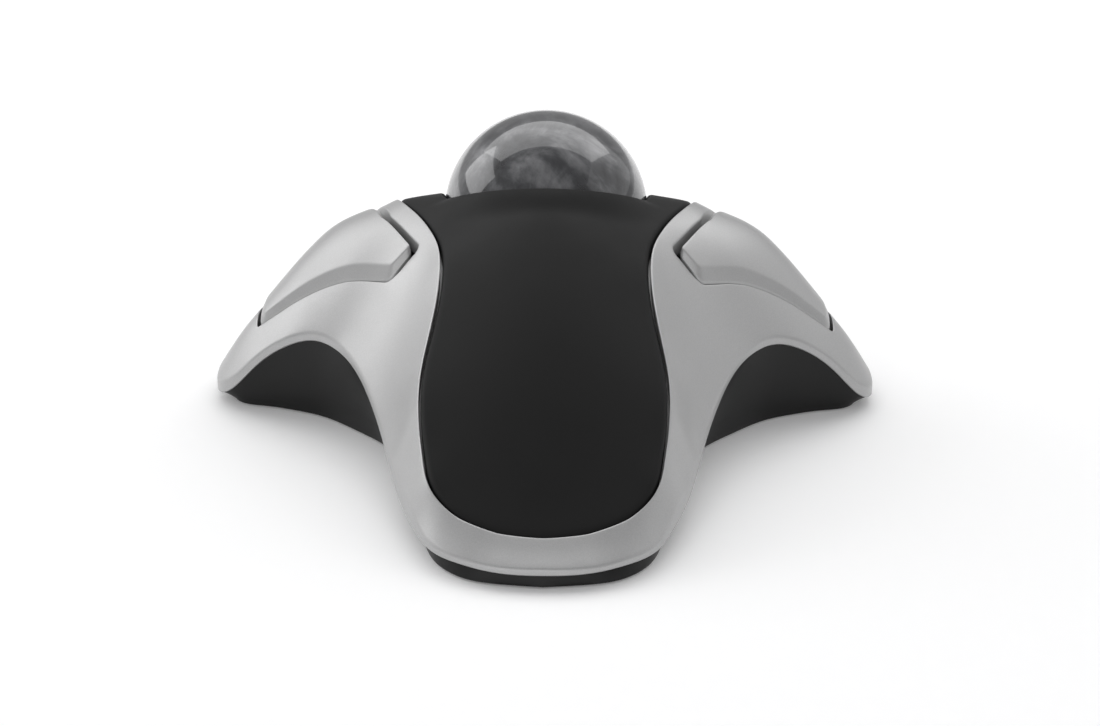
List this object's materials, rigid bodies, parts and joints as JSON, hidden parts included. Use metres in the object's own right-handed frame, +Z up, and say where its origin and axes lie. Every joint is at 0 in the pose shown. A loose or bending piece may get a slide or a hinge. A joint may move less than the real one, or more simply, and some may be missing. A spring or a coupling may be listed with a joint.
{
  "type": "trackball mouse",
  "caption": "Desktop trackball with a finger-turned ball in a tilted rim, a silver horseshoe casing, a black palm cover and a large press button on each wing.",
  "frame": {"origin": "on the desk, under the middle of the outline", "axes": "+X to the user's right, +Y away from the user, +Z up"},
  "size_m": [0.1308, 0.1121, 0.057],
  "materials": {
    "base_black": "satin moulded",
    "silver_shell": "satin metallic paint",
    "silver_button": "satin metallic paint",
    "palm_black": "soft-touch",
    "cup_black": "satin",
    "bearing": "polished",
    "ball_core": "marbled grey",
    "ball_coat": "polished",
    "steel": "zinc plated",
    "board": "solder mask",
    "tinned": "tinned",
    "switch_black": "moulded",
    "plunger_white": "moulded",
    "chip_black": "moulded",
    "lens_clear": "clear acrylic",
    "led_red": "clear red",
    "capacitor": "sleeved can",
    "grommet_rubber": "matt",
    "feet_rubber": "matt"
  },
  "bodies": {
    "housing": {"base_shell": "base_black", "upper_shell": "silver_shell", "palm_cover": "palm_black", "ball_cup": "cup_black", "support_bearing_1": "bearing", "support_bearing_2": "bearing", "support_bearing_3": "bearing", "left_hinge_pin": "steel", "right_hinge_pin": "steel", "left_switch_board": "board", "right_switch_board": "board", "main_board": "board", "left_switch_terminals": "tinned", "right_switch_terminals": "tinned", "left_switch_case": "switch_black", "right_switch_case": "switch_black", "sensor_chip": "chip_black", "sensor_lens": "lens_clear", "sensor_led": "led_red", "led_clip": "switch_black", "usb_controller": "chip_black", "clock_crystal": "tinned", "capacitor": "capacitor", "cable_header": "plunger_white", "cable_grommet": "grommet_rubber", "rubber_feet": "feet_rubber", "case_screws": "steel", "cover_screws": "steel", "cup_screws": "steel", "main_board_screws": "steel", "switch_board_screws": "steel"},
    "ball_x": {"ball_core": "ball_core"},
    "ball": {"ball_coat": "ball_coat"},
    "left_button": {"left_button": "silver_button"},
    "right_button": {"right_button": "silver_button"},
    "left_plunger": {"left_switch_plunger": "plunger_white"},
    "right_plunger": {"right_switch_plunger": "plunger_white"}
  },
  "joints": [
    {"name": "ball_roll_x", "type": "hinge", "parent": "housing", "child": "ball_x", "pos_m": [0, 0.0275, 0.037], "axis": [1, 0, 0], "continuous": true},
    {"name": "ball_roll_y", "type": "hinge", "parent": "ball_x", "child": "ball", "pos_m": [0, 0.0275, 0.037], "axis": [0, 1, 0], "continuous": true},
    {"name": "left_button_press", "type": "hinge", "parent": "housing", "child": "left_button", "pos_m": [-0.051, 0.0235, 0.0115], "axis": [0, 1, 0], "range_deg": [0, 1.6], "stiffness_Nm_per_rad": 0.6, "springref_deg": -1.15},
    {"name": "right_button_press", "type": "hinge", "parent": "housing", "child": "right_button", "pos_m": [0.051, 0.0235, 0.0115], "axis": [0, -1, 0], "range_deg": [0, 1.6], "stiffness_Nm_per_rad": 0.6, "springref_deg": -1.15},
    {"name": "left_plunger_travel", "type": "slide", "parent": "housing", "child": "left_plunger", "axis": [0, 0, -1], "range_m": [0, 0.0005], "stiffness_N_per_m": 0.004, "springref_m": -0.026},
    {"name": "right_plunger_travel", "type": "slide", "parent": "housing", "child": "right_plunger", "axis": [0, 0, -1], "range_m": [0, 0.0005], "stiffness_N_per_m": 0.004, "springref_m": -0.026}
  ],
  "couplings": [
    {"joint": "left_plunger_travel", "follows": "left_button_press", "m_per_rad": 0.017},
    {"joint": "right_plunger_travel", "follows": "right_button_press", "m_per_rad": 0.017}
  ]
}
